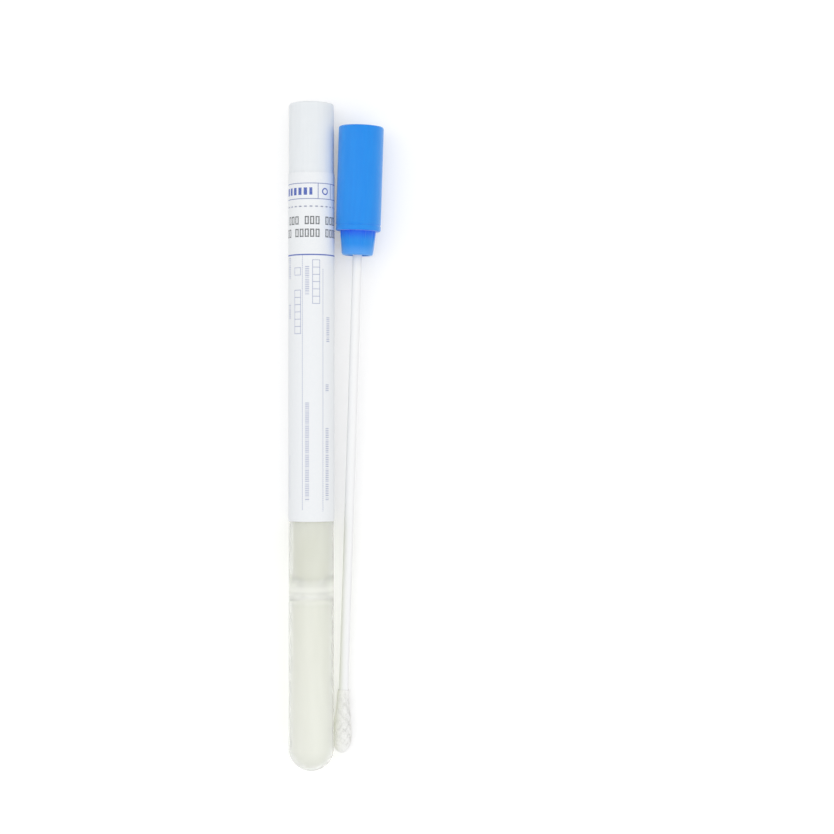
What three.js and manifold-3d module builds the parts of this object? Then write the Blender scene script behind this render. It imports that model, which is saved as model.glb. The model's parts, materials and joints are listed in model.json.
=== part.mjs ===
// A specimen swab tube set: a round-bottomed tube of transport gel, shut by a push-in stopper and
// wrapped in a paper label, with the capped swab that replaces the stopper lying against its side.
//
// Millimetres, +Z up. The tube lies along Y with its mouth towards +Y. The origin is at the middle
// of the set's box, on the surface that the set lies on.
//
// The stopper and the swab's cap are the same moulding, made once by capSolid. Each lying part is
// drawn about its own axis, along Y, with y = 0 at the seat where cap and tube meet.

import * as THREE from 'three';
import { mergeVertices } from 'three/addons/utils/BufferGeometryUtils.js';
import Module from 'manifold-3d';

const wasm = await Module();
wasm.setup();

// ---- Driving dimensions ----

// Tube
const tubeDiameter = 12;
const tubeLength = 150;
const tubeWall = 1;
const lipRound = 0.3;
// The waist is a narrow place in the bore that keeps the gel at the bottom of the tube.
const waistInset = 2.1;
const waistDepth = 101.8;
const waistFunnelLength = 4.6;
const waistFlareLength = 3.2;

// Transport gel
const gelDepth = 82.5;
const gelDimpleRadius = 3.2;
const gelDimpleDepth = 13;
const gelClearance = 0.05;

// Label, and the band of it that stays on the stopper when it is torn at its perforation
const labelThickness = 0.13;
const labelGlueLine = 0.02;
const labelLength = 83.3;
const sealBandLength = 9.1;
const perforationGap = 0.2;

// Cap moulding
const capLength = 27.8;
const capEndRound = 0.6;
const capShoulderRound = 0.35;
const capGrooveHeight = 1.3;
const capGrooveWidth = 0.5;
const capGrooveDepth = 0.12;
const capEndThickness = 1.5;
const plugLength = 6.5;
const plugTaper = 0.65;
const plugNoseRound = 0.6;
const plugWall = 0.85;
const plugClearance = 0.05;
const crushRibCount = 8;
const crushRibWidth = 0.9;
const crushRibHeight = 0.15;
const crushRibSetback = 1;
const crushRibFullDepth = 1;
const bossWall = 0.85;
const bossSetback = 0.4;
const webCount = 4;
const webThickness = 0.7;
const webSetback = 1.4;
const seatGap = 0.05;

// Swab
const shaftDiameter = 2.5;
const shaftLength = 150;
const shaftAboveSeat = 11.3;
const shaftEndChamfer = 0.25;
const shaftClearance = 0.05;
const budDiameter = 5;
const budLength = 17;
const budNoseLength = 3.6;
const budCollarDiameter = 3.1;
const budBeyondShaft = 1.3;

// How the swab lies against the tube
const swabSetback = 6;
const restGap = 0.3;

// Fineness of the round shapes, and how far a cutter runs past the face that it cuts
const bodySegments = 36;
const shaftSegments = 20;
const arcSteps = 4;
const overcut = 1;

// ---- Sizes that follow ----

const tubeRadius = tubeDiameter / 2;
const boreRadius = tubeRadius - tubeWall;
const waistRadius = boreRadius - waistInset;
const bottomCentreY = tubeRadius - tubeLength;
const labelInnerRadius = tubeRadius + labelGlueLine;
const labelOuterRadius = labelInnerRadius + labelThickness;
const capRadius = tubeRadius;
const crushRibRadius = boreRadius - plugClearance;
const plugRadius = crushRibRadius - crushRibHeight;
const plugEndRadius = plugRadius - plugTaper;
const crushRibEndY = crushRibSetback - plugLength;
const coreRadius = plugEndRadius - plugWall;
const shaftRadius = shaftDiameter / 2;
const socketRadius = shaftRadius + shaftClearance;
const bossRadius = socketRadius + bossWall;
const budRadius = budDiameter / 2;
const shaftTipY = shaftAboveSeat - shaftLength;
const budTipY = shaftTipY - budBeyondShaft;

// ---- Outlines ----

const point = (radius, y) => new THREE.Vector2(radius, y);

/** Points of a circular arc in an outline, angles in quarter turns from the +radius direction. */
function arc(centreRadius, centreY, radius, fromQuarter, toQuarter, steps = arcSteps) {
  const points = [];
  for (let i = 0; i <= steps; i += 1) {
    const angle = (fromQuarter + ((toQuarter - fromQuarter) * i) / steps) * (Math.PI / 2);
    points.push(point(centreRadius + radius * Math.cos(angle), centreY + radius * Math.sin(angle)));
  }
  return points;
}

/** A value that runs smoothly from a to b as t goes from 0 to 1, level at both ends. */
const ease = (a, b, t) => a + ((b - a) * (1 - Math.cos(Math.PI * t))) / 2;

/** The bore from the round bottom's middle up to the flare's foot, through the waist, to topY. */
function boreOutline(topY, clearance) {
  const wide = boreRadius - clearance;
  const narrow = waistRadius - clearance;
  const steps = 2 * arcSteps;
  const points = arc(0, bottomCentreY, wide, -1, 0, steps);
  for (let i = 0; i <= steps; i += 1) {
    const t = i / steps;
    points.push(point(ease(wide, narrow, t), -waistDepth - waistFlareLength * (1 - t)));
  }
  for (let i = 1; i <= steps; i += 1) {
    const t = i / steps;
    points.push(point(ease(narrow, wide, t), -waistDepth + waistFunnelLength * t));
  }
  points.push(point(wide, topY));
  return points;
}

// ---- Geometry and solids ----

/** Turns an outline about Y. The outline runs counter-clockwise, and starts and ends on the axis. */
function turned(outline, segments = bodySegments) {
  return new THREE.LatheGeometry(outline, segments);
}

/** A ring whose section is a rectangle. */
function ring(innerRadius, outerRadius, lowY, highY) {
  return turned([
    point(innerRadius, lowY),
    point(outerRadius, lowY),
    point(outerRadius, highY),
    point(innerRadius, highY),
    point(innerRadius, lowY),
  ]);
}

/** A closed geometry as a solid that can be joined and cut. */
function toSolid(geometry) {
  const bare = geometry.clone();
  bare.deleteAttribute('normal');
  bare.deleteAttribute('uv');
  const merged = mergeVertices(bare);
  const index = merged.index.array;
  const triangles = [];
  for (let i = 0; i < index.length; i += 3) {
    const [a, b, c] = [index[i], index[i + 1], index[i + 2]];
    if (a !== b && b !== c && c !== a) {
      triangles.push(a, b, c);
    }
  }
  return new wasm.Manifold(new wasm.Mesh({
    numProp: 3,
    vertProperties: merged.attributes.position.array,
    triVerts: new Uint32Array(triangles),
  }));
}

/** A solid as a geometry again. */
function toGeometry(solid) {
  const mesh = solid.getMesh();
  const geometry = new THREE.BufferGeometry();
  geometry.setAttribute('position', new THREE.BufferAttribute(mesh.vertProperties, 3));
  geometry.setIndex(new THREE.BufferAttribute(mesh.triVerts, 1));
  geometry.computeVertexNormals();
  return geometry;
}

/** A flat outline drawn in the radius-Y plane, given a width, at a turn about Y. */
function fin(outline, width, turn) {
  const geometry = new THREE.ExtrudeGeometry(new THREE.Shape(outline), {
    depth: width,
    bevelEnabled: false,
  });
  geometry.translate(0, 0, -width / 2);
  geometry.rotateY(turn);
  return toSolid(geometry);
}

// ---- Tube and what is in and on it ----

/** The tube: a round bottom, a straight outside and a bore with a waist. */
function tubeGeometry() {
  const bore = boreOutline(0, 0).reverse();
  const outline = [
    ...arc(0, bottomCentreY, tubeRadius, -1, 0, 2 * arcSteps),
    ...arc(tubeRadius - lipRound, -lipRound, lipRound, 0, 1),
    ...bore,
  ];
  return turned(outline);
}

/** The gel: the bore's shape up to gelDepth below the mouth, with a dimple drawn down in its top. */
function gelGeometry() {
  const filled = toSolid(turned([...boreOutline(-gelDepth, gelClearance), point(0, -gelDepth)]));
  const steps = 2 * arcSteps;
  const dimple = [];
  for (let i = 0; i <= steps; i += 1) {
    const t = i / steps;
    const radius = gelDimpleRadius * Math.sin((Math.PI / 2) * t) ** 1.5;
    dimple.push(point(radius, -gelDepth - gelDimpleDepth * (1 - t)));
  }
  dimple.push(point(gelDimpleRadius, overcut - gelDepth), point(0, overcut - gelDepth));
  return toGeometry(filled.subtract(toSolid(turned(dimple))));
}

/** The label on the tube, from the perforation down. */
function labelGeometry() {
  return ring(labelInnerRadius, labelOuterRadius, -labelLength, -perforationGap / 2);
}

/** The band of the label on the stopper, from the perforation up. */
function sealBandGeometry() {
  return ring(labelInnerRadius, labelOuterRadius, perforationGap / 2, sealBandLength);
}

// ---- Cap moulding ----

/** The cap's outside: nose and taper of the plug, shoulder, collar groove, side and flat end. */
function capOutside() {
  const groove = capRadius - capGrooveDepth;
  return toSolid(turned([
    point(0, -plugLength),
    ...arc(plugEndRadius - plugNoseRound, plugNoseRound - plugLength, plugNoseRound, -1, -0.15),
    point(plugRadius, 0),
    ...arc(capRadius - capShoulderRound, capShoulderRound, capShoulderRound, -1, 0),
    point(capRadius, capGrooveHeight),
    point(groove, capGrooveHeight + capGrooveWidth / 4),
    point(groove, capGrooveHeight + (3 * capGrooveWidth) / 4),
    point(capRadius, capGrooveHeight + capGrooveWidth),
    ...arc(capRadius - capEndRound, capLength - capEndRound, capEndRound, 0, 1),
    point(0, capLength),
  ]));
}

/** The space moulded into the cap from its plug end, round the boss that holds a shaft. */
function capCore() {
  const below = -plugLength - overcut;
  const coreEndY = capLength - capEndThickness;
  const bossEndY = bossSetback - plugLength;
  return toSolid(turned([
    point(0, below),
    point(coreRadius, below),
    point(coreRadius, coreEndY),
    point(bossRadius, coreEndY),
    point(bossRadius, bossEndY),
    point(0, bossEndY),
  ]));
}

/** The blind hole in the boss that a shaft is pressed into. */
function capSocket() {
  return toSolid(turned([
    point(0, -plugLength),
    point(socketRadius, -plugLength),
    point(socketRadius, shaftAboveSeat + shaftClearance),
    point(0, shaftAboveSeat + shaftClearance),
  ], shaftSegments));
}

/** One of the ribs that the tube's bore squeezes, fading evenly from near the shoulder to the nose. */
function crushRib(turn) {
  const rootRadius = plugEndRadius - plugNoseRound;
  const flatTop = Math.sqrt(crushRibRadius ** 2 - (crushRibWidth / 2) ** 2);
  return fin([
    point(rootRadius, capShoulderRound),
    point(rootRadius, crushRibEndY),
    point(plugEndRadius, crushRibEndY),
    point(flatTop, -crushRibFullDepth),
    point(flatTop, capShoulderRound),
  ], crushRibWidth, turn);
}

/** One of the webs that tie the boss to the wall inside the cap. */
function web(turn) {
  const inner = (socketRadius + bossRadius) / 2;
  const outer = coreRadius + plugWall / 2;
  const low = webSetback - plugLength;
  const high = capLength - capEndThickness / 2;
  return fin([
    point(inner, low),
    point(outer, low),
    point(outer, high),
    point(inner, high),
  ], webThickness, turn);
}

/** The whole moulding, with its shoulder at y = 0, its plug below and its flat end at the top. */
function capSolid() {
  let solid = capOutside().subtract(capCore()).subtract(capSocket());
  for (let i = 0; i < webCount; i += 1) {
    solid = solid.add(web(((i + 0.5) / webCount) * 2 * Math.PI));
  }
  for (let i = 0; i < crushRibCount; i += 1) {
    solid = solid.add(crushRib(((i + 0.5) / crushRibCount) * 2 * Math.PI));
  }
  return solid;
}

// ---- Swab ----

/** The shaft, a plain rod with its two edges broken. */
function shaftGeometry() {
  return turned([
    point(0, shaftTipY),
    point(shaftRadius - shaftEndChamfer, shaftTipY),
    point(shaftRadius, shaftTipY + shaftEndChamfer),
    point(shaftRadius, shaftAboveSeat - shaftEndChamfer),
    point(shaftRadius - shaftEndChamfer, shaftAboveSeat),
    point(0, shaftAboveSeat),
  ], shaftSegments);
}

/** The wound fibre bud, with a round nose, a long taper to its collar and the shaft's hole. */
function budGeometry() {
  const steps = 2 * arcSteps;
  const noseY = budTipY + budNoseLength;
  const collarY = budTipY + budLength;
  const outline = [];
  for (let i = 0; i <= steps; i += 1) {
    const angle = (Math.PI / 2) * (i / steps);
    outline.push(point(budRadius * Math.sin(angle), noseY - budNoseLength * Math.cos(angle)));
  }
  for (let i = 1; i <= steps; i += 1) {
    const t = i / steps;
    outline.push(point(ease(budRadius, budCollarDiameter / 2, t), noseY + (collarY - noseY) * t));
  }
  outline.push(point(socketRadius, collarY));
  outline.push(point(socketRadius, shaftTipY - shaftClearance));
  outline.push(point(0, shaftTipY - shaftClearance));
  return turned(outline, shaftSegments);
}

// ---- Materials ----

/** A plastic, paper or fibre finish. An opacity under 1 lets what is behind show through. */
function finish(color, roughness, opacity = 1) {
  const transparent = opacity < 1;
  return new THREE.MeshStandardMaterial({ color, roughness, metalness: 0, opacity, transparent });
}

const clearPlastic = finish('#eef1ee', 0.12, 0.35);
const paleGel = finish('#e3e2cb', 0.25);
const whitePaper = finish('#eef1f4', 0.7);
const naturalPlastic = finish('#e6eaec', 0.4);
const bluePlastic = finish('#2f92ee', 0.35);
const whiteShaftPlastic = finish('#f4f5f6', 0.35);
const fibre = finish('#f3f3f0', 0.95);

// ---- Assembly ----

function part(name, geometry, material) {
  const mesh = new THREE.Mesh(geometry, material);
  mesh.name = name;
  return mesh;
}

/** The tube lying on its label, with its axis at x = 0 and its mouth at y = 0. */
function stopperedTube(cap) {
  const group = new THREE.Group();
  const stopper = part('stopper', toGeometry(cap), naturalPlastic);
  stopper.position.y = seatGap;
  group.add(
    part('tube', tubeGeometry(), clearPlastic),
    part('transport_medium', gelGeometry(), paleGel),
    part('label', labelGeometry(), whitePaper),
    part('seal_band', sealBandGeometry(), whitePaper),
    stopper,
  );
  group.position.z = labelOuterRadius;
  return group;
}

/** How far to the side of the tube's axis a round part's axis lies when they nearly touch. */
function sideBySide(tubeSideRadius, otherRadius) {
  const apart = tubeSideRadius + otherRadius + restGap;
  return Math.sqrt(apart ** 2 - (labelOuterRadius - otherRadius) ** 2);
}

/** The swab lying on its cap's shoulder and its bud, leaning in under the tube's side. */
function restingSwab(cap) {
  const group = new THREE.Group();
  group.add(
    part('applicator_cap', toGeometry(cap), bluePlastic),
    part('shaft', shaftGeometry(), whiteShaftPlastic),
    part('swab_bud', budGeometry(), fibre),
  );
  const capTouchY = capShoulderRound;
  const budTouchY = budTipY + budNoseLength;
  const span = capTouchY - budTouchY;
  const besideCap = sideBySide(labelOuterRadius, capRadius);
  const besideBud = sideBySide(tubeRadius, budRadius);
  const pitch = Math.atan2(capRadius - budRadius, span);
  const yaw = Math.atan2(besideCap - besideBud, span);
  group.rotation.set(pitch, 0, -yaw, 'ZXY');
  group.position.set(besideCap, -swabSetback, 0);
  group.updateMatrixWorld(true);
  group.position.z = -new THREE.Box3().setFromObject(group, true).min.z;
  return group;
}

const set = new THREE.Group();
const cap = capSolid();
set.add(stopperedTube(cap), restingSwab(cap));
set.updateMatrixWorld(true);
const middle = new THREE.Box3().setFromObject(set, true).getCenter(new THREE.Vector3());
set.position.set(-middle.x, -middle.y, 0);

export default set;
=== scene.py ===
"""Looks of a specimen swab tube.

A labelled tube of transport gel lies on its side, shut by a natural plastic stopper. The swab lies
beside it, and its blue cap, at the stopper's end, takes the stopper's place after use.

Each part is shaped in millimetres in a frame of its own: Y runs along its axis, with 0 at the seat
where tube and cap meet and + towards the cap's flat end, and Z is up. Its Place then puts it, in
metres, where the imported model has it.
"""

import json
import logging
import math
import random
from abc import ABC, abstractmethod
from collections.abc import Callable, Iterable, Sequence
from dataclasses import dataclass, field
from enum import Enum
from functools import reduce
from itertools import pairwise
from typing import Any

import bmesh
import bpy
from mathutils import Matrix, Vector


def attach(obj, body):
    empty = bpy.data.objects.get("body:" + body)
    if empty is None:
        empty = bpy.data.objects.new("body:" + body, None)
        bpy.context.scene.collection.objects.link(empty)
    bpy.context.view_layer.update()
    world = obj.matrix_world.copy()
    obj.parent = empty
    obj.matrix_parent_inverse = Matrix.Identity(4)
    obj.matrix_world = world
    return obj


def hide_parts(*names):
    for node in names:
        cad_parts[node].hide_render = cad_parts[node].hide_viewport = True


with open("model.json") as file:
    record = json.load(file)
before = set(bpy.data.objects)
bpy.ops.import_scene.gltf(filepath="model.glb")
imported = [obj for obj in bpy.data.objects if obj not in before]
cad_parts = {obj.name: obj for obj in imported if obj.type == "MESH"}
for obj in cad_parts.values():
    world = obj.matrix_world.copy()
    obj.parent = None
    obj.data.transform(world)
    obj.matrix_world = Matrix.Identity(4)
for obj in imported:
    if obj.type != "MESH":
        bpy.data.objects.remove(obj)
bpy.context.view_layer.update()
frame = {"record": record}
log = logging.getLogger("swab_tube")

Colour = tuple[float, float, float, float]
Socket = bpy.types.NodeSocket
BMesh = bmesh.types.BMesh

MM = 0.001
UP = Vector((0, 0, 1))
SHARP_ANGLE = math.radians(38)


class Body(Enum):
    """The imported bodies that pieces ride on."""

    TUBE = "tube"
    STOPPER = "stopper"


class Slot(Enum):
    """The record's material slots."""

    CLEAR_PLASTIC = "clear_plastic"
    GEL = "gel"
    LABEL_PAPER = "label_paper"
    NATURAL_PLASTIC = "natural_plastic"
    BLUE_PLASTIC = "blue_plastic"
    WHITE_PLASTIC = "white_plastic"
    FIBRE = "fibre"


def paint(red: float, green: float, blue: float) -> Colour:
    """The colour for a shader of a screen colour whose parts run from 0 to 255."""
    parts = [value / 255 for value in (red, green, blue)]
    linear = [p / 12.92 if p <= 0.04045 else ((p + 0.055) / 1.055) ** 2.4 for p in parts]
    return (*linear, 1.0)


def ease(start: float, end: float, share: float) -> float:
    """A value that runs smoothly from start to end as share goes from 0 to 1."""
    return start + (end - start) * (1 - math.cos(math.pi * share)) / 2


@dataclass(frozen=True)
class Place:
    """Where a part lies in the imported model.

    Attributes:
        seat: The place of the part's own 0, in metres.
        axis: The direction of its own Y.
    """

    seat: Vector
    axis: Vector

    @classmethod
    def before_mount(cls, name: str, distance: float) -> "Place":
        """The place of a part that ends at a mount.

        Args:
            name: The mount's name in the record.
            distance: How far the part's seat is behind the mount, in mm.

        Returns:
            The part's place.
        """
        mount = next(m for m in frame["record"]["mounts"] if m["name"] == name)
        axis = Vector(mount["axis"]).normalized()
        return cls(Vector(mount["pos_m"]) - axis * distance * MM, axis)

    @property
    def matrix(self) -> Matrix:
        """Takes the part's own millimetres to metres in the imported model."""
        right = self.axis.cross(UP).normalized()
        turn = Matrix((right, self.axis, right.cross(self.axis))).transposed().to_4x4()
        return Matrix.Translation(self.seat) @ turn @ Matrix.Scale(MM, 4)


# ---- Shader expressions ----


def maths(operation: str, reflected: bool = False) -> Callable[..., "Value"]:
    """An operator of Value.

    Args:
        operation: The operation of the Math node that it adds.
        reflected: Whether the value stands on the operator's right.

    Returns:
        The operator, as a method.
    """

    def act(*operands: "Value | float") -> "Value":
        """The operator's result, as a new Math node in the value's tree."""
        ordered = reversed(operands) if reflected else operands
        return operands[0].nodes.math(operation, *ordered)

    return act


class Value:
    """A number that changes over a surface. Arithmetic on it adds Math nodes."""

    def __init__(self, nodes: "Nodes", socket: Socket) -> None:
        """Wraps the socket that gives the number."""
        self.nodes = nodes
        self.socket = socket

    __add__ = __radd__ = maths("ADD")
    __sub__ = maths("SUBTRACT")
    __rsub__ = maths("SUBTRACT", reflected=True)
    __mul__ = __rmul__ = maths("MULTIPLY")
    __mod__ = maths("FLOORED_MODULO")
    __abs__ = maths("ABSOLUTE")
    __lt__ = maths("LESS_THAN")
    __gt__ = maths("GREATER_THAN")
    __or__ = maths("MAXIMUM")

    def within(self, low: float, high: float) -> "Value":
        """1 where this is between low and high, else 0."""
        return (self > low) * (self < high)

    def near(self, middle: float, width: float) -> "Value":
        """1 in a line of this width whose middle is at `middle`, else 0."""
        return abs(self - middle) < width / 2

    def rises(self, low: float, high: float) -> "Value":
        """Runs smoothly from 0 where this is low to 1 where it is high."""
        node = self.nodes.add(
            "ShaderNodeMapRange",
            {"interpolation_type": "SMOOTHSTEP"},
            {"Value": self, "From Min": low, "From Max": high},
        )
        return Value(self.nodes, node.outputs[0])


def any_of(masks: Iterable[Value]) -> Value:
    """1 where any of the masks is 1."""
    return reduce(lambda first, second: first | second, masks)


class Nodes:
    """The node tree of a material or the world, written as expressions."""

    def __init__(self, owner: bpy.types.Material | bpy.types.World) -> None:
        """Starts an empty tree on its owner."""
        owner.use_nodes = True
        self.tree = owner.node_tree
        self.tree.nodes.clear()

    def add(
        self,
        kind: str,
        settings: dict[str, Any] | None = None,
        values: dict[str | int, Any] | None = None,
    ) -> bpy.types.Node:
        """Adds a node.

        Args:
            kind: The node's type name.
            settings: Its own settings, such as an operation. They are set first.
            values: For each socket, by name or number, its value or what is linked to it.

        Returns:
            The new node.
        """
        node = self.tree.nodes.new(kind)
        for key, value in (settings or {}).items():
            setattr(node, key, value)
        for key, value in (values or {}).items():
            given = value.socket if isinstance(value, Value) else value
            if isinstance(given, Socket):
                self.tree.links.new(given, node.inputs[key])
            else:
                node.inputs[key].default_value = given
        return node

    def math(self, operation: str, *values: "Value | float") -> Value:
        """The result of a Math node."""
        node = self.add("ShaderNodeMath", {"operation": operation}, dict(enumerate(values)))
        return Value(self, node.outputs[0])

    def mix(self, share: Value, first: Any, second: Any) -> Socket:
        """A colour that goes from first to second as share goes from 0 to 1."""
        values = {0: share, 6: first, 7: second}
        return self.add("ShaderNodeMix", {"data_type": "RGBA"}, values).outputs[2]

    def noise(self, vector: Any, scale: float, detail: float = 3.0) -> Value:
        """Cloudy noise around 0.5, with `scale` lumps to the unit of the vector."""
        values = {"Vector": vector, "Scale": scale, "Detail": detail}
        return Value(self, self.add("ShaderNodeTexNoise", None, values).outputs[0])

    def stretched(self, vector: Any, scale: Sequence[float]) -> Socket:
        """A vector with each of its parts multiplied."""
        values = {0: vector, 1: tuple(scale)}
        return self.add("ShaderNodeVectorMath", {"operation": "MULTIPLY"}, values).outputs[0]

    def bump(self, height: Value, depth: float, strength: float = 1.0) -> Socket:
        """A normal that shows a height of 0 to 1 as a relief of `depth` mm."""
        values = {"Height": height, "Distance": depth * MM, "Strength": strength}
        return self.add("ShaderNodeBump", None, values).outputs[0]

    def path(self, name: str) -> Value:
        """One of the Light Path node's answers, such as Is Shadow Ray."""
        return Value(self, self.add("ShaderNodeLightPath").outputs[name])

    def principled(self, values: dict[str | int, Any]) -> Socket:
        """A Principled shader."""
        return self.add("ShaderNodeBsdfPrincipled", None, values).outputs[0]

    def lamps_through(self, shader: Any, tint: Sequence[float]) -> Socket:
        """The shader, but letting tinted light from lamps and matt surfaces straight through."""
        clear = self.add("ShaderNodeBsdfTransparent", None, {"Color": tint}).outputs[0]
        for ray in ("Is Diffuse Ray", "Is Shadow Ray"):
            values = {0: self.path(ray), 1: shader, 2: clear}
            shader = self.add("ShaderNodeMixShader", None, values).outputs[0]
        return shader

    def show(self, shader: Any, kind: str = "ShaderNodeOutputMaterial") -> None:
        """Puts the shader on the surface."""
        self.add(kind, None, {0: shader})


class Surface(Nodes):
    """A new material, with its part's own millimetres as values."""

    def __init__(self, name: str, place: Place) -> None:
        """Starts the material of a part that lies at `place`."""
        self.material = bpy.data.materials.new(name)
        super().__init__(self.material)
        matrix = place.matrix
        values = {
            "Vector": self.add("ShaderNodeTexCoord").outputs["Object"],
            "Location": matrix.to_translation(),
            "Rotation": matrix.to_euler(),
            "Scale": (MM, MM, MM),
        }
        self.spot = self.add("ShaderNodeMapping", {"vector_type": "TEXTURE"}, values).outputs[0]
        parts = self.add("ShaderNodeSeparateXYZ", None, {0: self.spot}).outputs
        self.x, self.y, self.z = (Value(self, part) for part in parts)

    @property
    def angle(self) -> Value:
        """How far round the axis a place is, in radians from the top towards +X."""
        return self.math("ARCTAN2", self.x, self.z)

    @property
    def radius(self) -> Value:
        """How far from the axis a place is."""
        return self.math("SQRT", self.x * self.x + self.z * self.z)


# ---- Finishes ----


class Finish(ABC):
    """What a piece is made of."""

    @abstractmethod
    def look(self, s: Surface) -> Socket:
        """The shader of its surface."""

    def material(self, name: str, place: Place) -> bpy.types.Material:
        """The finish as a new material, for a part at `place`."""
        s = Surface(name, place)
        s.show(self.look(s))
        return s.material


@dataclass(frozen=True)
class ClearPlastic(Finish):
    """Clear moulded plastic with a slight haze, which whitens it where it is thick.

    Attributes:
        waist: Where its wall grows thick, is thick, starts to thin and is thin, in mm below the seat.
        hazy_rings: Two rings of extra haze near the waist, in mm below the seat.
        ring_width: How far each such place reaches.
        tint: The colour of what is seen through it.
        haze_colour: The colour of its haze.
        light_tint: The colour of the light that passes.
        refraction: How much it bends light.
        haze: How much of it is haze at least.
        waist_haze: How much haze the waist's thick wall adds.
        ring_haze: How much haze the two rings add.
    """

    waist: tuple[float, float, float, float]
    hazy_rings: tuple[float, ...]
    ring_width: float = 1.1
    tint: Colour = paint(252, 253, 250)
    haze_colour: Colour = paint(244, 245, 240)
    light_tint: Colour = paint(251, 252, 250)
    refraction: float = 1.49
    haze: float = 0.27
    waist_haze: float = 0.2
    ring_haze: float = 0.1

    def look(self, s: Surface) -> Socket:
        """Clear plastic, with its haze mixed in."""
        cloud = s.noise(s.stretched(s.spot, (1, 0.2, 1)), 0.3, 1)
        ripple = s.noise(s.stretched(s.spot, (1, 0.1, 1)), 0.2, 0)
        normal = s.bump(ripple, 0.01, 0.3)
        clear = s.principled(
            {
                "Base Color": self.tint,
                "Roughness": 0.1 + 0.06 * cloud,
                "Transmission Weight": 1.0,
                "IOR": self.refraction,
                "Normal": normal,
            }
        )
        hazy = s.principled(
            {
                "Base Color": self.haze_colour,
                "Roughness": 0.3 + 0.1 * cloud,
                "IOR": self.refraction,
                "Sheen Weight": 1.0,
                "Sheen Roughness": 0.5,
                "Normal": normal,
            }
        )
        depth = 0 - s.y
        rings = any_of(
            1 - abs(depth - ring).rises(0.1, self.ring_width) for ring in self.hazy_rings
        )
        waist = depth.rises(*self.waist[:2]) * (1 - depth.rises(*self.waist[2:]))
        share = self.haze + 0.05 * cloud + self.waist_haze * waist + self.ring_haze * rings
        look = s.add("ShaderNodeMixShader", None, {0: share, 1: clear, 2: hazy}).outputs[0]
        return s.lamps_through(look, self.light_tint)


@dataclass(frozen=True)
class TransportGel(Finish):
    """Milky transport gel, darker above the tube's waist and palest at the bottom, with painted light
    just below the label.

    Attributes:
        label_end: Where the label ends, in mm below the seat.
        waist_depth: Where the tube's waist is.
        bottom_depth: Where the round bottom starts.
        bottom: Its colour at the bottom.
        below: Its colour just below the waist.
        above: Its colour above the waist.
        painted_light_under_label: Its colour just below the label's edge, a painted light where the
            label's shadow falls.
        cloud: The colour of its clouds.
        light_tint: The colour of the light that passes.
        painted_light_reach: How far the painted light below the label reaches.
    """

    label_end: float
    waist_depth: float
    bottom_depth: float
    bottom: Colour = paint(245, 244, 238)
    below: Colour = paint(232, 231, 220)
    above: Colour = paint(206, 206, 187)
    painted_light_under_label: Colour = paint(217, 217, 204)
    cloud: Colour = paint(243, 244, 236)
    light_tint: Colour = paint(242, 242, 232)
    painted_light_reach: float = 7.0

    def look(self, s: Surface) -> Socket:
        """The gel, shaded along its depth."""
        depth = 0 - s.y
        body = s.mix(depth.rises(self.waist_depth, self.bottom_depth), self.below, self.bottom)
        # Painted light just below the label's edge, fading out further down.
        past_painted_light = depth.rises(self.label_end, self.label_end + self.painted_light_reach)
        above = s.mix(past_painted_light, self.painted_light_under_label, self.above)
        body = s.mix(depth.rises(self.waist_depth - 2, self.waist_depth + 1.5), above, body)
        cloud = s.noise(s.stretched(s.spot, (1, 0.25, 1)), 0.25, 1.5)
        look = s.principled(
            {
                "Base Color": s.mix(cloud.rises(0.3, 0.8) * 0.3, body, self.cloud),
                "Roughness": 0.3 + 0.1 * cloud,
                "Transmission Weight": 0.35,
                "IOR": 1.34,
                "Normal": s.bump(cloud, 0.04, 0.3),
            }
        )
        return s.lamps_through(look, self.light_tint)


@dataclass(frozen=True)
class PaintedPlugLight:
    """Painted shade and light on a plug: a painted shadow under its shoulder, deeper along its ribs,
    and painted light at its nose.

    Attributes:
        painted_shadow: The colour of the painted shadow under the shoulder.
        nose: The colour of the painted light that the nose takes on.
        rib_count: How many ribs go round the plug.
        rib_width: How wide a rib is, in radians.
        length: How long the plug is, in mm.
        shadow_reach: How far below the shoulder the painted shadow fades out, in mm.
        nose_light_share: How much of the painted light the nose takes on.
        rib_shadow_share: How much of the painted shadow only the ribs take on.
        shoulder: How far up the shoulder's edge the painted shadow goes, in mm.
    """

    painted_shadow: Colour
    nose: Colour
    rib_count: int
    rib_width: float
    length: float
    shadow_reach: float = 2.9
    nose_light_share: float = 0.26
    rib_shadow_share: float = 0.15
    shoulder: float = 0.1

    def over(self, s: Surface, colour: Socket) -> Socket:
        """The moulding's colour with the plug's painted shadow and painted light over it."""
        pitch = math.tau / self.rib_count
        from_rib = abs((s.angle + math.tau) % pitch - pitch / 2)
        rib = 1 - from_rib.rises(self.rib_width * 0.25, self.rib_width * 0.75)
        # Painted shadow under the shoulder, fading out below it.
        painted_shadow_mask = s.y.rises(-self.shadow_reach, 0) * (s.y < self.shoulder)
        # Painted light on the thin nose.
        thin = 1 - s.y.rises(-self.length, -self.length / 2)
        pale = s.mix(thin * self.nose_light_share, colour, self.nose)
        # The painted shadow is deeper along the ribs.
        return s.mix(painted_shadow_mask * (1 - self.rib_shadow_share + self.rib_shadow_share * rib), pale, self.painted_shadow)


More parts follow.
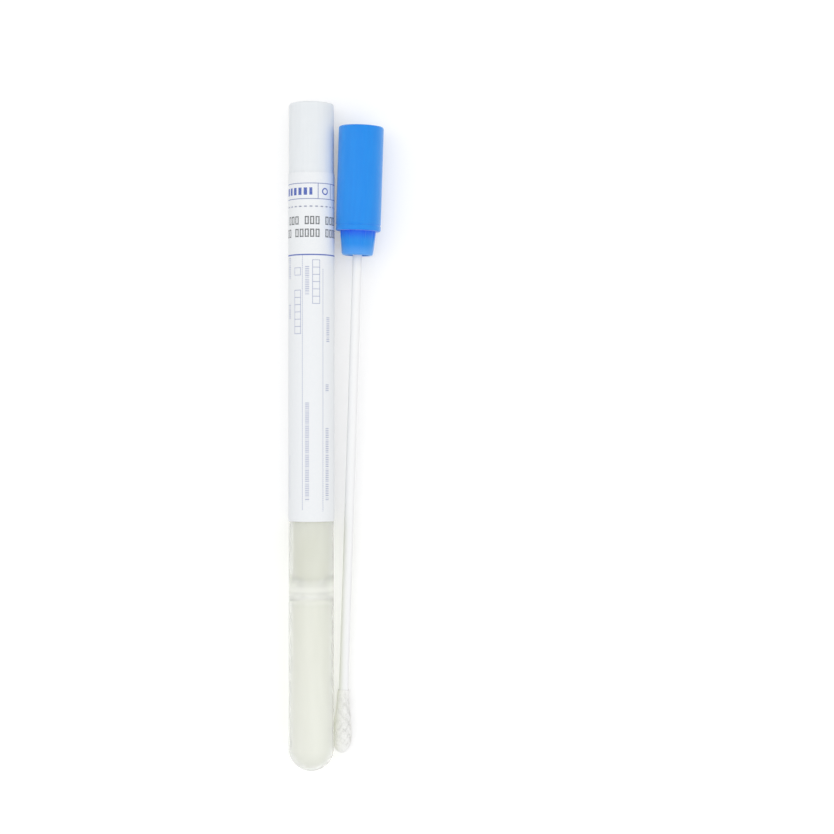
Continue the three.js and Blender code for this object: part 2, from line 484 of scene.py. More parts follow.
@dataclass(frozen=True)
class MouldedPlastic(Finish):
    """Soft moulded plastic that lets some light in, with faint flow lines and scuffs.

    Attributes:
        colour: Its colour.
        thin_colour: Its colour where little of it is in light's way, at a rim or a thin wall.
        roughness: How dull it is.
        glow: How much light wanders inside it.
        edge_light: How much it lightens towards its edges.
        edge_tint: The colour that it lightens to.
        glow_reach: How far light wanders inside it, in mm.
        painted_plug_light: The painted shadow and painted light of its plug, where it has one.
    """

    colour: Colour
    thin_colour: Colour
    roughness: float
    glow: float
    edge_light: float = 0.0
    edge_tint: Colour = paint(255, 255, 255)
    glow_reach: float = 1.2
    painted_plug_light: PaintedPlugLight | None = None

    def look(self, s: Surface) -> Socket:
        """The plastic, with its glow, flow lines and scuffs."""
        flow = s.noise(s.stretched(s.spot, (0.9, 0.06, 0.9)), 1.1, 2)
        cloud = s.noise(s.spot, 0.16, 2)
        grain = s.noise(s.spot, 9.0, 2)
        scuffs = s.noise(s.stretched(s.spot, (1, 4, 1)), 0.9, 5).rises(0.62, 0.7)
        shade = flow.rises(0.3, 0.75) * 0.35 + cloud.rises(0.3, 0.8) * 0.2
        colour = s.mix(shade, self.colour, self.thin_colour)
        # Painted shadow under the plug's shoulder and along its ribs, and painted light at its nose.
        if self.painted_plug_light:
            colour = self.painted_plug_light.over(s, colour)
        return s.principled(
            {
                "Base Color": colour,
                "Roughness": self.roughness + 0.1 * scuffs + 0.08 * (grain - 0.5),
                "Subsurface Weight": self.glow,
                "Subsurface Radius": (1.0, 1.0, 1.0),
                "Subsurface Scale": self.glow_reach * MM,
                "Sheen Weight": self.edge_light,
                "Sheen Tint": self.edge_tint,
                "Sheen Roughness": 0.5,
                "Specular IOR Level": 0.3,
                "IOR": 1.5,
                "Normal": s.bump(grain * 0.4 + flow * 0.6, 0.05, 0.5),
            }
        )


@dataclass(frozen=True)
class WoundFibre(Finish):
    """Matt spun fibre, wound on in a slant."""

    colour: Colour = paint(252, 252, 250)
    shadow: Colour = paint(246, 246, 244)

    def look(self, s: Surface) -> Socket:
        """The fibre, in slanting turns."""
        strands = s.math("SINE", s.angle * 9.0 + s.y * 7.0 + s.noise(s.spot, 0.9, 3) * 9.0)
        fuzz = s.noise(s.spot, 5.0, 5)
        return s.principled(
            {
                "Base Color": s.mix(fuzz.rises(0.35, 0.65), self.shadow, self.colour),
                "Roughness": 0.95,
                "Sheen Weight": 0.25,
                "Specular IOR Level": 0.2,
                "Normal": s.bump(strands * 0.25 + fuzz * 0.75, 0.12, 0.7),
            }
        )


@dataclass(frozen=True)
class LabelPaper(Finish):
    """Satin label paper with its print. u is mm round the outside from the top, v mm below the seat.

    Attributes:
        outside: The radius of the printed face.
        cut_start: Where the first cut's tie starts, in radians from the top towards +X.
        cut_count: How many cuts there are in one turn.
        cut_share: How much of a cut and its tie is cut.
        paper: The bare paper's colour.
        fibre: The colour of its fibres.
        line_ink: The colour of fine blue lines.
        bold_ink: The colour of broad blue marks.
        stamp_ink: The colour of the marks stamped on at filling.
        line: How wide the rings and the rules across the band are.
        dotted_line: How wide the dotted rules are.
    """

    outside: float
    cut_start: float
    cut_count: int
    cut_share: float
    paper: Colour = paint(242, 244, 246)
    fibre: Colour = paint(238, 241, 244)
    line_ink: Colour = paint(96, 112, 172)
    bold_ink: Colour = paint(62, 90, 180)
    stamp_ink: Colour = paint(58, 63, 68)
    line: float = 0.22
    dotted_line: float = 0.17

    def ladder(self, u: Value, v: Value, left: float, top: float, count: int) -> Value:
        """The lines of a column of square boxes to fill in, from the first box's corner on."""
        side, line = 1.92, 0.13
        right, low = left + side, top + count * side
        rails = u.near(left, line) | u.near(right, line)
        rungs = abs((v - top + side / 2) % side - side / 2) < line / 2
        field_u = u.within(left - line / 2, right + line / 2)
        return (rails | rungs) * field_u * v.within(top - line / 2, low + line / 2)

    def caption(self, u: Value, v: Value, middle: float, top: float, low: float) -> Value:
        """Fine upright ticks in groups that stand for a line of small print, along the label."""
        height, pitch, tick = 1.1, 0.48, 0.2
        ticks = v % pitch < tick
        groups = (v * 0.19 + (v * 0.07) % 1.0) % 1.0 < 0.9
        return u.near(middle, height) * v.within(top, low) * ticks * groups

    def fine_lines(self, u: Value, v: Value) -> Value:
        """The mask of the rings, the dotted rules and the boxes."""
        high, low = -6.1, -2.0
        rings = [v.near(at, self.line) for at in (high, low)]
        bars = [u.near(at, self.line) * v.within(high, low) for at in (-13.0, 2.15, 6.2, 15.6)]
        dots = v % 0.5 < 0.28
        rules = ((-2.1, 12.9, 80.2), (3.53, 16.3, 80.6), (-7.0, 65.7, 77.6), (12.6, 14.0, 79.6))
        dotted = [
            u.near(at, self.dotted_line) * dots * v.within(start, end) for at, start, end in rules
        ]
        boxes = ((0.67, 14.15, 6), (-4.54, 16.2, 1), (-4.54, 22.1, 6), (14.2, 20, 8))
        ladders = [self.ladder(u, v, *box) for box in boxes]
        return any_of([*rings, *bars, *dotted, *ladders])

    def captions(self, u: Value, v: Value) -> Value:
        """The mask of all the small print's bars."""
        bars = (
            (-0.8, 15.8, 23.5),
            (-0.8, 51.6, 77.8),
            (5.2, 29.2, 35.9),
            (4.9, 47.0, 49.0),
            (4.9, 58.6, 77.8),
            (-6.9, 13.1, 19.0),
            (-6.9, 25.6, 29.6),
            (10.8, 24.0, 60.0),
        )
        return any_of(self.caption(u, v, *bar) for bar in bars)

    def painted_cut_shade(self, s: Surface, v: Value) -> Value:
        """The mask of painted shade in dashes along the cuts, in line ink."""
        along = ((self.cut_start - s.angle) * (self.cut_count / math.tau)) % 1.0
        return (along > 1 - self.cut_share) * v.near(0, 0.36)

    def bold_marks(self, s: Surface, u: Value, v: Value) -> Value:
        """The mask of the broad ring, and of the row of blocks and the ring mark on the band."""
        blocks = ((u + 0.2) % 1.55 < 0.95) * u.within(-9.6, 0.6) * v.within(-4.95, -3.0)
        across, down = u - 4.2, v + 4.0
        away = s.math("SQRT", across * across + down * down)
        return blocks | away.within(0.6, 0.95) | v.near(12.75, 0.34)

    def stamp(self, u: Value, v: Value) -> Value:
        """The mask of two rows of upright dotted frames, in groups."""
        pitch, width, height, stroke, dot = 1.44, 1.1, 2.22, 0.32, 0.37
        dots = v % dot < 0.33
        across = u % pitch
        sides = (across < stroke) | across.within(width - stroke, width)
        ends = (across < width) * (u % 0.26 < 0.22)
        rows = []
        for top, first, count in ((2.59, 1, 4), (5.92, 3, 6)):
            low = top + height
            frames = sides | ends * (v.within(top, top + dot) | v.within(low - dot, low))
            group = (u + first * pitch) % (count * pitch) < (count - 1) * pitch
            rows.append(frames * v.within(top, low) * group)
        return any_of(rows) * dots * u.within(-10.2, 11.3)

    def look(self, s: Surface) -> Socket:
        """The paper, with its inks over it."""
        u, v = s.angle * self.outside, 0 - s.y
        printed = s.radius > self.outside - 0.03
        fibres = s.noise(s.spot, 3.2, 5)
        cockle = s.noise(s.stretched(s.spot, (1, 0.22, 1)), 0.3, 2)
        wear = 0.82 + 0.18 * s.noise(s.spot, 6.0, 2).rises(0.35, 0.6)
        colour = s.mix(fibres.rises(0.3, 0.7), self.fibre, self.paper)
        inks = (
            (self.captions(u, v) * 0.7, self.line_ink),
            (self.fine_lines(u, v) * 0.85, self.line_ink),
            # Painted shade along the cuts.
            (self.painted_cut_shade(s, v) * 0.6, self.line_ink),
            (self.bold_marks(s, u, v), self.bold_ink),
            (self.stamp(u, v), self.stamp_ink),
        )
        for mask, ink in inks:
            colour = s.mix(mask * printed * wear, colour, ink)
        return s.principled(
            {
                "Base Color": colour,
                "Roughness": 0.5 + 0.15 * fibres,
                "IOR": 1.45,
                "Normal": s.bump(fibres * 0.25 + cockle * 0.75, 0.09, 0.6),
            }
        )


# ---- Shaping ----


@dataclass(frozen=True)
class Corner:
    """A corner of an outline that is turned about a part's axis.

    Attributes:
        radius: Its distance from the axis.
        along: Its place along the axis.
        rounding: How far back along both its sides it is rounded.
        cuts: How many points are put between it and the next corner.
    """

    radius: float
    along: float
    rounding: float = 0.0
    cuts: int = 0


def arc(centre: float, radius: float, start: float, end: float, steps: int) -> list[Corner]:
    """Corners along an arc whose centre is on the axis.

    Args:
        centre: The centre's place along the axis.
        radius: The arc's radius.
        start: Where it starts, in degrees, with -90 at the lower pole and 0 at the equator.
        end: Where it ends.
        steps: How many chords it has.

    Returns:
        The corners, the first and the last included.
    """
    turns = [math.radians(start + (end - start) * i / steps) for i in range(steps + 1)]
    return [Corner(radius * math.cos(t), centre + radius * math.sin(t)) for t in turns]


def slope(start: Corner, end: Corner, steps: int) -> list[Corner]:
    """Corners of a wall that leaves one corner and meets another level with the axis."""
    return [
        Corner(
            ease(start.radius, end.radius, i / steps),
            start.along + (end.along - start.along) * i / steps,
        )
        for i in range(steps + 1)
    ]


def turned(corners: Sequence[Corner], steps: int) -> BMesh:
    """Turns an outline about Y into a closed shape.

    Args:
        corners: The outline, from axis to axis.
        steps: How many faces go round.

    Returns:
        The shape, in the part's own millimetres.
    """
    bm = bmesh.new()
    verts = [bm.verts.new((c.radius, c.along, 0)) for c in corners]
    for corner, (start, end) in zip(corners, pairwise(verts)):
        between = [bm.verts.new(start.co.lerp(end.co, i / (corner.cuts + 1)))
                   for i in range(1, corner.cuts + 1)]
        for pair in pairwise([start, *between, end]):
            bm.edges.new(pair)
    for corner, vert in zip(corners, verts):
        if corner.rounding:
            bmesh.ops.bevel(
                bm,
                geom=[vert],
                offset=corner.rounding,
                segments=6,
                profile=0.5,
                affect="VERTICES",
                material=-1,
            )
    bmesh.ops.spin(
        bm,
        geom=bm.verts[:] + bm.edges[:],
        cent=(0, 0, 0),
        axis=(0, 1, 0),
        angle=math.tau,
        steps=steps,
        use_merge=True,
    )
    bmesh.ops.remove_doubles(bm, verts=bm.verts, dist=1e-4)
    bmesh.ops.recalc_face_normals(bm, faces=bm.faces)
    return bm


def as_mesh(name: str, bm: BMesh) -> bpy.types.Mesh:
    """Makes a mesh of a shape, and frees the shape."""
    mesh = bpy.data.meshes.new(name)
    bm.to_mesh(mesh)
    bm.free()
    return mesh


def in_scene(name: str, data: bpy.types.ID) -> bpy.types.Object:
    """Puts a mesh, a lamp or a camera in the scene as an object."""
    made = bpy.data.objects.new(name, data)
    bpy.context.scene.collection.objects.link(made)
    return made


@dataclass(frozen=True)
class Piece:
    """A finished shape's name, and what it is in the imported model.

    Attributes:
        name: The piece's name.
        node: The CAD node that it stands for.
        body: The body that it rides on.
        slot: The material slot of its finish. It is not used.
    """

    name: str
    node: str
    body: Body
    slot: Slot

    def make(self, bm: BMesh, place: Place, finish: Finish) -> bpy.types.Object:
        """Puts a shape in its place as a dressed piece.

        Args:
            bm: The shape in its own millimetres. It is freed.
            place: Where it lies.
            finish: What it is made of.

        Returns:
            The piece's object.
        """
        bmesh.ops.transform(bm, matrix=place.matrix, verts=bm.verts)
        made = in_scene(self.name, as_mesh(self.name, bm))
        made.data.polygons.foreach_set("use_smooth", [True] * len(made.data.polygons))
        made.data.set_sharp_from_angle(angle=SHARP_ANGLE)
        made.data.materials.append(finish.material(f"{self.name}_finish", place))
        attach(made, self.body.value)
        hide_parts(self.node)
        log.info("%s: %d faces, for %s", self.name, len(made.data.polygons), self.node)
        return made


# ---- Tube, gel and label ----


@dataclass(frozen=True)
class Tube:
    """The round-bottomed tube and the gel in it. The seat is at its mouth."""

    radius: float = 6.0
    length: float = 150.0
    wall: float = 1.0
    lip_round: float = 0.3
    waist_inset: float = 2.1
    waist_depth: float = 101.8
    funnel_length: float = 4.6
    flare_length: float = 3.2
    hazy_rings: tuple[float, ...] = (101.3, 103.3)
    gate_radius: float = 0.9
    gate_recess: float = 0.28
    nub_recess: float = 0.12
    gel_depth: float = 82.5
    gel_clearance: float = 0.05
    dimple_radius: float = 3.2
    dimple_depth: float = 13.0
    steps: int = 128

    @property
    def waist_walls(self) -> tuple[float, float, float, float]:
        """Where the wall grows to its waist's thickness and where it thins again, below the mouth."""
        start = self.waist_depth - self.funnel_length
        end = self.waist_depth + self.flare_length
        return (start + 1, self.waist_depth - 1, self.waist_depth + 1, end + 1)

    def bore(self, top: float, clearance: float) -> list[Corner]:
        """The outline of the bore, or of what fills it.

        Args:
            top: Where it ends, along the axis.
            clearance: How far inside the tube's wall it is.

        Returns:
            Its corners, from the lower pole up.
        """
        wide = self.radius - self.wall - clearance
        narrow = wide - self.waist_inset
        waist = Corner(narrow, -self.waist_depth)
        flare = Corner(wide, -self.waist_depth - self.flare_length)
        funnel = Corner(wide, self.funnel_length - self.waist_depth)
        return [
            *arc(self.radius - self.length, wide, -90, 0, 24),
            *slope(flare, waist, 14),
            *slope(waist, funnel, 20)[1:],
            Corner(wide, top),
        ]

    def shell(self) -> BMesh:
        """The tube, with the moulding's gate mark under its round bottom."""
        centre = self.radius - self.length
        gate = math.degrees(math.acos(self.gate_radius / self.radius))
        low = centre - self.radius
        mouth = self.bore(0, 0)
        mouth[-1] = Corner(mouth[-1].radius, 0, self.lip_round / 2)
        corners = [
            Corner(0, low + self.nub_recess),
            Corner(self.gate_radius * 0.4, low + self.nub_recess),
            Corner(self.gate_radius * 0.5, low + self.gate_recess),
            Corner(self.gate_radius * 0.85, low + self.gate_recess),
            *arc(centre, self.radius, -gate, 0, 24),
            Corner(self.radius, 0, self.lip_round),
            *reversed(mouth),
        ]
        return turned(corners, self.steps)

    def gel(self) -> BMesh:
        """The gel, with the dimple that is drawn down in its top."""
        top = -self.gel_depth
        filled = self.bore(top, self.gel_clearance)
        filled[-1] = Corner(filled[-1].radius, top, 0.25)
        steps = 18
        dimple = [
            Corner(
                self.dimple_radius * math.sin(math.pi / 2 * i / steps) ** 1.5,
                top - self.dimple_depth * (1 - i / steps),
            )
            for i in range(steps + 1)
        ]
        dimple[-1] = Corner(self.dimple_radius, top, 0.2)
        return turned([*filled, *reversed(dimple)], self.steps)

    def build(self, place: Place, label_end: float) -> None:
        """Makes the tube and its gel, with the mouth at `place` and the label ending below it."""
        Piece("tube_shell", "tube", Body.TUBE, Slot.CLEAR_PLASTIC).make(
            self.shell(), place, ClearPlastic(self.waist_walls, self.hazy_rings)
        )
        Piece("transport_gel", "transport_medium", Body.TUBE, Slot.GEL).make(
            self.gel(), place, TransportGel(label_end, self.waist_depth, self.length - self.radius)
        )


@dataclass(frozen=True)
class Label:
    """The paper wrapped round the tube and the stopper's collar, and cut through between them.

    Attributes:
        inside: The rolled paper's inner radius.
        thickness: The paper's thickness.
        glue: The glue's thickness where the paper laps itself.
        lap_end: Where the outer end of the paper lies, in degrees from the top towards +X.
        low: The lower edge, along the axis.
        high: The upper edge.
        cut: Where the line of cuts runs.
        cut_width: How wide a cut is.
        cut_count: How many cuts there are in one turn.
        tie: How many columns are left whole between two cuts.
        cycle: How many columns one cut and one tie have together.
        lap_columns: How many columns the paper laps itself by.
        row: The length of one row of faces.
        lap_rise: How far the paper takes to rise over its own inner end.
        tie_reach: How much of the way to the middle of a cut a tie reaches.
    """

    inside: float = 6.02
    thickness: float = 0.13
    glue: float = 0.02
    lap_end: float = -112.0
    low: float = -83.3
    high: float = 9.1
    cut: float = 0.0
    cut_width: float = 0.1
    cut_count: int = 26
    tie: int = 3
    cycle: int = 6
    lap_columns: int = 12
    row: float = 3.0
    lap_rise: float = 1.6
    tie_reach: float = 0.9

    @property
    def column(self) -> float:
        """The width of one column of faces."""
        return math.tau * (self.inside + self.thickness / 2) / (self.cut_count * self.cycle)

    def sheet(self, low: float, high: float, cut_edge: float) -> BMesh:
        """One of the two parted sheets, rolled up.

        Args:
            low: Its lower edge.
            high: Its upper edge.
            cut_edge: Which of the two is the parted one.

        Returns:
            The closed sheet, with its printed face outwards.
        """
        columns = self.cut_count * self.cycle + self.lap_columns
        width = columns * self.column
        rows = max(2, round((high - low) / self.row))
        bm = bmesh.new()
        bmesh.ops.create_grid(bm, x_segments=columns, y_segments=rows, size=0.5)
        bmesh.ops.scale(bm, vec=(width, high - low, 1), verts=bm.verts)
        bmesh.ops.translate(bm, vec=(0, (low + high) / 2, 0), verts=bm.verts)
        self.add_ties(bm, cut_edge, width)
        bmesh.ops.solidify(bm, geom=bm.faces[:], thickness=self.thickness)
        bmesh.ops.recalc_face_normals(bm, faces=bm.faces)
        base = min(v.co.z for v in bm.verts)
        for vert in bm.verts:
            vert.co = self.rolled(vert.co.x + width / 2, vert.co.y, vert.co.z - base, width)
        bmesh.ops.recalc_face_normals(bm, faces=bm.faces)
        return bm

    def add_ties(self, bm: BMesh, edge_at: float, width: float) -> None:
        """Draws the paper left between the cuts out to the middle of the line of cuts.

        Args:
            bm: The flat sheet.
            edge_at: The parted edge, along the sheet.
            width: The sheet's width.
        """
        reach = (self.cut - edge_at) * self.tie_reach
        ties = []
        for edge in bm.edges:
            middle = (edge.verts[0].co + edge.verts[1].co) / 2
            column = int((width / 2 - middle.x) / self.column)
            level = abs(middle.y - edge_at) < 1e-4 and edge.is_boundary
            if level and column % self.cycle < self.tie:
                ties.append(edge)
        made = bmesh.ops.extrude_edge_only(bm, edges=ties)["geom"]
        ends = [item for item in made if isinstance(item, bmesh.types.BMVert)]
        bmesh.ops.translate(bm, vec=(0, reach, 0), verts=ends)

    def rolled(self, across: float, along: float, depth: float, width: float) -> Vector:
        """Where a place on the flat sheet goes when it is rolled.

        Args:
            across: How far the place is from the inner end of the paper.
            along: Its place along the axis.
            depth: How far it is from the glued face.
            width: The whole sheet's width.

        Returns:
            The rolled place.
        """
        round_once = width - self.lap_columns * self.column
        share = min(1.0, max(0.0, (across - round_once + self.lap_rise) / self.lap_rise))
        radius = self.inside + depth + ease(0, self.thickness + self.glue, share)
        turn = math.radians(self.lap_end) - (width - across) / (self.inside + self.thickness / 2)
        return Vector((radius * math.sin(turn), along, radius * math.cos(turn)))

    def build(self, place: Place) -> None:
        """Makes the label and the band on the stopper, for a tube at `place`."""
        cut_share = 1 - self.tie / self.cycle
        start = math.radians(self.lap_end)
        finish = LabelPaper(self.inside + self.thickness, start, self.cut_count, cut_share)
        half = self.cut_width / 2
        Piece("paper_label", "label", Body.TUBE, Slot.LABEL_PAPER).make(
            self.sheet(self.low, self.cut - half, self.cut - half), place, finish
        )
        Piece("paper_seal_band", "seal_band", Body.STOPPER, Slot.LABEL_PAPER).make(
            self.sheet(self.cut + half, self.high, self.cut + half), place, finish
        )


# ---- Cap moulding ----


@dataclass(frozen=True)
class Cap:
    """The moulding that is both the stopper and the swab's cap. The seat is at its shoulder."""

    radius: float = 6.0
    length: float = 27.8
    end_round: float = 0.6
    shoulder_round: float = 0.35
    groove_at: float = 1.55
    groove_width: float = 0.5
    groove_depth: float = 0.12
    end_thickness: float = 1.5
    gate_radius: float = 1.5
    gate_recess: float = 0.14
    nub_radius: float = 0.5
    nub_recess: float = 0.03
    plug_length: float = 6.5
    plug_radius: float = 4.8
    plug_taper: float = 0.65
    plug_round: float = 0.6
    plug_wall: float = 0.85
    rib_count: int = 8
    rib_radius: float = 4.95
    rib_width: float = 0.9
    rib_low: float = -5.5
    rib_high: float = -1.0
    boss_radius: float = 2.15
    boss_setback: float = 0.4
    socket_radius: float = 1.3
    socket_end: float = 11.35
    web_count: int = 4
    web_thickness: float = 0.7
    web_setback: float = 1.4
    steps: int = 192

    @property
    def core_radius(self) -> float:
        """The outer radius of the space inside."""
        return self.plug_end - self.plug_wall

    @property
    def plug_end(self) -> float:
        """The plug's radius at its nose."""
        return self.plug_radius - self.plug_taper

    def outline(self) -> list[Corner]:
        """The outline, from the socket's end round the plug and the side to the flat end."""
        core_end = self.length - self.end_thickness
        groove = self.radius - self.groove_depth
        half = self.groove_width / 2
        return [
            Corner(0, self.socket_end),
            Corner(self.socket_radius, self.socket_end, 0.1),
            Corner(self.socket_radius, self.boss_setback - self.plug_length, 0.15),
            Corner(self.boss_radius, self.boss_setback - self.plug_length, 0.15),
            Corner(self.boss_radius, core_end, 0.2),
            Corner(self.core_radius, core_end, 0.2),
            Corner(self.core_radius, -self.plug_length, 0.12),
            Corner(self.plug_end, -self.plug_length, self.plug_round, 3),
            Corner(self.plug_radius, -0.02, 0, 3),
            Corner(self.radius, 0, self.shoulder_round),
            Corner(self.radius, self.groove_at - half, 0.06),
            Corner(groove, self.groove_at - half / 2, 0.04),
            Corner(groove, self.groove_at + half / 2, 0.04),
            Corner(self.radius, self.groove_at + half, 0.06, 6),
            Corner(self.radius, self.length, self.end_round),
            Corner(self.gate_radius, self.length, 0.1),
            Corner(self.gate_radius - 0.15, self.length - self.gate_recess, 0.05),
            Corner(self.nub_radius, self.length - self.gate_recess),
            Corner(self.nub_radius - 0.08, self.length - self.nub_recess, 0.03),
            Corner(0, self.length - self.nub_recess),
        ]

    def painted_plug_light(self, painted_shadow: Colour, nose: Colour) -> PaintedPlugLight:
        """The plug's painted shadow under its shoulder and along its ribs, and its painted light at
        its nose, in the two colours given.
        """
        turn = self.rib_width / self.rib_radius
        return PaintedPlugLight(painted_shadow, nose, self.rib_count, turn, self.plug_length)

    def raise_ribs(self, bm: BMesh) -> None:
        """Draws the ribs that the tube squeezes out of the plug's side, fading towards its nose."""
        pitch = math.tau / self.rib_count
        inside = self.core_radius + 0.3
        for vert in bm.verts:
            reach = math.hypot(vert.co.x, vert.co.z)
            if not self.rib_low < vert.co.y < 0.0 or reach < inside:
                continue
            turn = math.atan2(vert.co.x, vert.co.z) % pitch - pitch / 2
            side = min(1.0, abs(reach * turn) / (self.rib_width / 2))
            share = min(1.0, (vert.co.y - self.rib_low) / (self.rib_high - self.rib_low))
            top = self.plug_end + share * (self.rib_radius - self.plug_end)
            grown = reach + (1 - side**4) * max(0.0, top - reach)
            vert.co.x *= grown / reach
            vert.co.z *= grown / reach

    def webs(self) -> BMesh:
        """The webs that tie the boss to the wall inside."""
        inner = (self.socket_radius + self.boss_radius) / 2
        outer = self.core_radius + self.plug_wall / 2
        low = self.web_setback - self.plug_length
        high = self.length - self.end_thickness / 2
        bm = bmesh.new()
        for i in range(self.web_count):
            turn = Matrix.Rotation(math.tau * (i + 0.5) / self.web_count, 4, "Y")
            place = turn @ Matrix.Translation(((inner + outer) / 2, (low + high) / 2, 0))
            size = Matrix.Diagonal((outer - inner, high - low, self.web_thickness, 1))
            bmesh.ops.create_cube(bm, size=1, matrix=place @ size)
        return bm

    def mesh(self) -> bpy.types.Mesh:
        """The whole moulding, in its own millimetres."""
        bm = turned(self.outline(), self.steps)
        self.raise_ribs(bm)
        solid = in_scene("moulding", as_mesh("moulding", bm))
        webs = in_scene("webs", as_mesh("webs", self.webs()))
        union = solid.modifiers.new("webs", "BOOLEAN")
        union.operation = "UNION"
        union.solver = "EXACT"
        union.object = webs
        joined = solid.evaluated_get(bpy.context.evaluated_depsgraph_get())
        mesh = bpy.data.meshes.new_from_object(joined)
        for scrap in (solid, webs):
            bpy.data.objects.remove(scrap)
        return mesh

    def build(self, mesh: bpy.types.Mesh, piece: Piece, place: Place, finish: Finish) -> None:
        """Makes a piece of what mesh() gave, with its shoulder at `place`."""
        bm = bmesh.new()
        bm.from_mesh(mesh)
        bmesh.ops.dissolve_degenerate(bm, dist=1e-5, edges=bm.edges)
        piece.make(bm, place, finish)


# ---- Swab ----


@dataclass(frozen=True)
class Swab:
    """The swab's shaft and its wound fibre bud. The seat is at its cap's shoulder."""

    shaft_radius: float = 1.25
    shaft_top: float = 11.3
    shaft_tip: float = -138.7
    chamfer: float = 0.25
    bud_radius: float = 2.5
    bud_tip: float = -140.0
    bud_length: float = 17.0
    nose_length: float = 3.6
    collar_radius: float = 1.55
    clearance: float = 0.05
    strand_count: int = 420
    strand_radius: float = 0.05
    strand_rings: int = 14
    seed: int = 11
    steps: int = 96

    @property
    def nose(self) -> float:
        """Where the bud's round nose ends."""
        return self.bud_tip + self.nose_length

    @property
    def collar(self) -> float:
        """Where the bud ends on the shaft."""
        return self.bud_tip + self.bud_length

    def shaft(self) -> BMesh:
        """The shaft, a rod with its two edges broken."""
        corners = [
            Corner(0, self.shaft_tip),
            Corner(self.shaft_radius, self.shaft_tip, self.chamfer),
            Corner(self.shaft_radius, self.shaft_top, self.chamfer),
            Corner(0, self.shaft_top),
        ]
        return turned(corners, 48)

    def bud_reach(self, along: float) -> float:
        """The bud's radius at a place along the axis."""
        if along < self.nose:
            share = min(1.0, (self.nose - along) / self.nose_length)
            return self.bud_radius * math.sqrt(1 - share * share)
        share = min(1.0, (along - self.nose) / (self.collar - self.nose))
        return ease(self.bud_radius, self.collar_radius, share)

    def bud_core(self) -> BMesh:
        """The bud's body, with the hollow that the shaft is glued into."""
        turns = [math.pi / 2 * i / 12 for i in range(12)]
        places = [self.nose - self.nose_length * math.cos(t) for t in turns]
        places += [self.nose + (self.collar - self.nose) * i / 36 for i in range(37)]
        hole = self.shaft_radius + self.clearance
        corners = [Corner(self.bud_reach(y), y) for y in places]
        corners += [
            Corner(hole, self.collar),
            Corner(hole, self.shaft_tip - self.clearance),
            Corner(0, self.shaft_tip - self.clearance),
        ]
        return turned(corners, self.steps)

    def wind(self, bm: BMesh) -> None:
        """Raises slanting rolls of fibre on the bud's body."""
        for vert in bm.verts:
            reach = math.hypot(vert.co.x, vert.co.z)
            if reach < self.bud_reach(vert.co.y) - 0.05 or reach < 0.6:
                continue
            turn = math.atan2(vert.co.x, vert.co.z)
            roll = math.sin(4 * turn + 1.9 * vert.co.y) + 0.6 * math.sin(7 * turn - 2.7 * vert.co.y)
            grown = 1 + (0.03 * roll - 0.05) / reach
            vert.co.x *= grown
            vert.co.z *= grown

    def strand(self) -> bpy.types.Mesh:
        """A straight strand from z = 0 to 1, to be laid along the bud."""
        bm = bmesh.new()
        matrix = Matrix.Translation((0, 0, 0.5))
        bmesh.ops.create_cone(
            bm,
            cap_ends=True,
            segments=3,
            radius1=self.strand_radius,
            radius2=self.strand_radius,
            depth=1,
            matrix=matrix,
        )
        long = [e for e in bm.edges if abs(e.verts[0].co.z - e.verts[1].co.z) > 0.5]
        bmesh.ops.subdivide_edges(bm, edges=long, cuts=self.strand_rings - 1)
        return as_mesh("strand", bm)

    def loose_strands(self, place: Place) -> bpy.types.Mesh:
        """Strands in slanting turns on the bud, none of them under what the swab lies on.

        Args:
            place: Where the swab lies.

        Returns:
            The strands' mesh.
        """
        rng = random.Random(self.seed)
        strand = self.strand()
        into = place.matrix
        back = into.inverted()
        bm = bmesh.new()
        for _ in range(self.strand_count):
            start = len(bm.verts)
            bm.from_mesh(strand)
            bm.verts.ensure_lookup_table()
            length = rng.uniform(3.0, 7.5)
            first = self.bud_tip + rng.uniform(0.15, self.bud_length - length * 0.75)
            turn = rng.uniform(0, math.tau)
            sweep = rng.choice((-1, 1)) * rng.uniform(0.6, 2.6)
            lift = rng.uniform(0.0, 0.09)
            for vert in bm.verts[start:]:
                share = vert.co.z
                along = min(first + length * share, self.collar - 0.1)
                angle = turn + sweep * share
                bow = math.sin(math.pi * share)
                reach = self.bud_reach(along) - 0.1 + (lift + 0.06) * bow + vert.co.x
                radial = Vector((math.sin(angle), 0, math.cos(angle)))
                tangent = Vector((radial.z, 0, -radial.x))
                spot = radial * max(reach, 0.05) + tangent * vert.co.y
                spot.y = along
                world = into @ spot
                world.z = max(world.z, 0.02 * MM)
                vert.co = back @ world
        return as_mesh("strands", bm)

    def build(self, place: Place) -> None:
        """Makes the shaft and the bud for a swab at `place`."""
        Piece("swab_stick", "shaft", Body.TUBE, Slot.WHITE_PLASTIC).make(
            self.shaft(), place, MouldedPlastic(paint(246, 247, 248), paint(250, 250, 250), 0.35, 0.1)
        )
        bud = self.bud_core()
        self.wind(bud)
        bud.from_mesh(self.loose_strands(place))
        Piece("fibre_bud", "swab_bud", Body.TUBE, Slot.FIBRE).make(bud, place, WoundFibre())


# ---- Studio ----


@dataclass(frozen=True)
class Lamp:
    """A soft lamp that points at the set.

    Attributes:
        spot: Where it is, in metres.
        size: Its width and length.
        watts: How strong it is.
    """

    spot: tuple[float, float, float]
    size: tuple[float, float]
    watts: float

    def build(self, name: str, target: Vector) -> None:
        """Makes the lamp, turned towards the target."""
        data = bpy.data.lights.new(name, "AREA")
        data.shape = "RECTANGLE"
        data.size, data.size_y = self.size
        data.energy = self.watts
        lamp = in_scene(name, data)
        lamp.location = self.spot
        lamp.rotation_euler = (target - lamp.location).to_track_quat("-Z", "Y").to_euler()


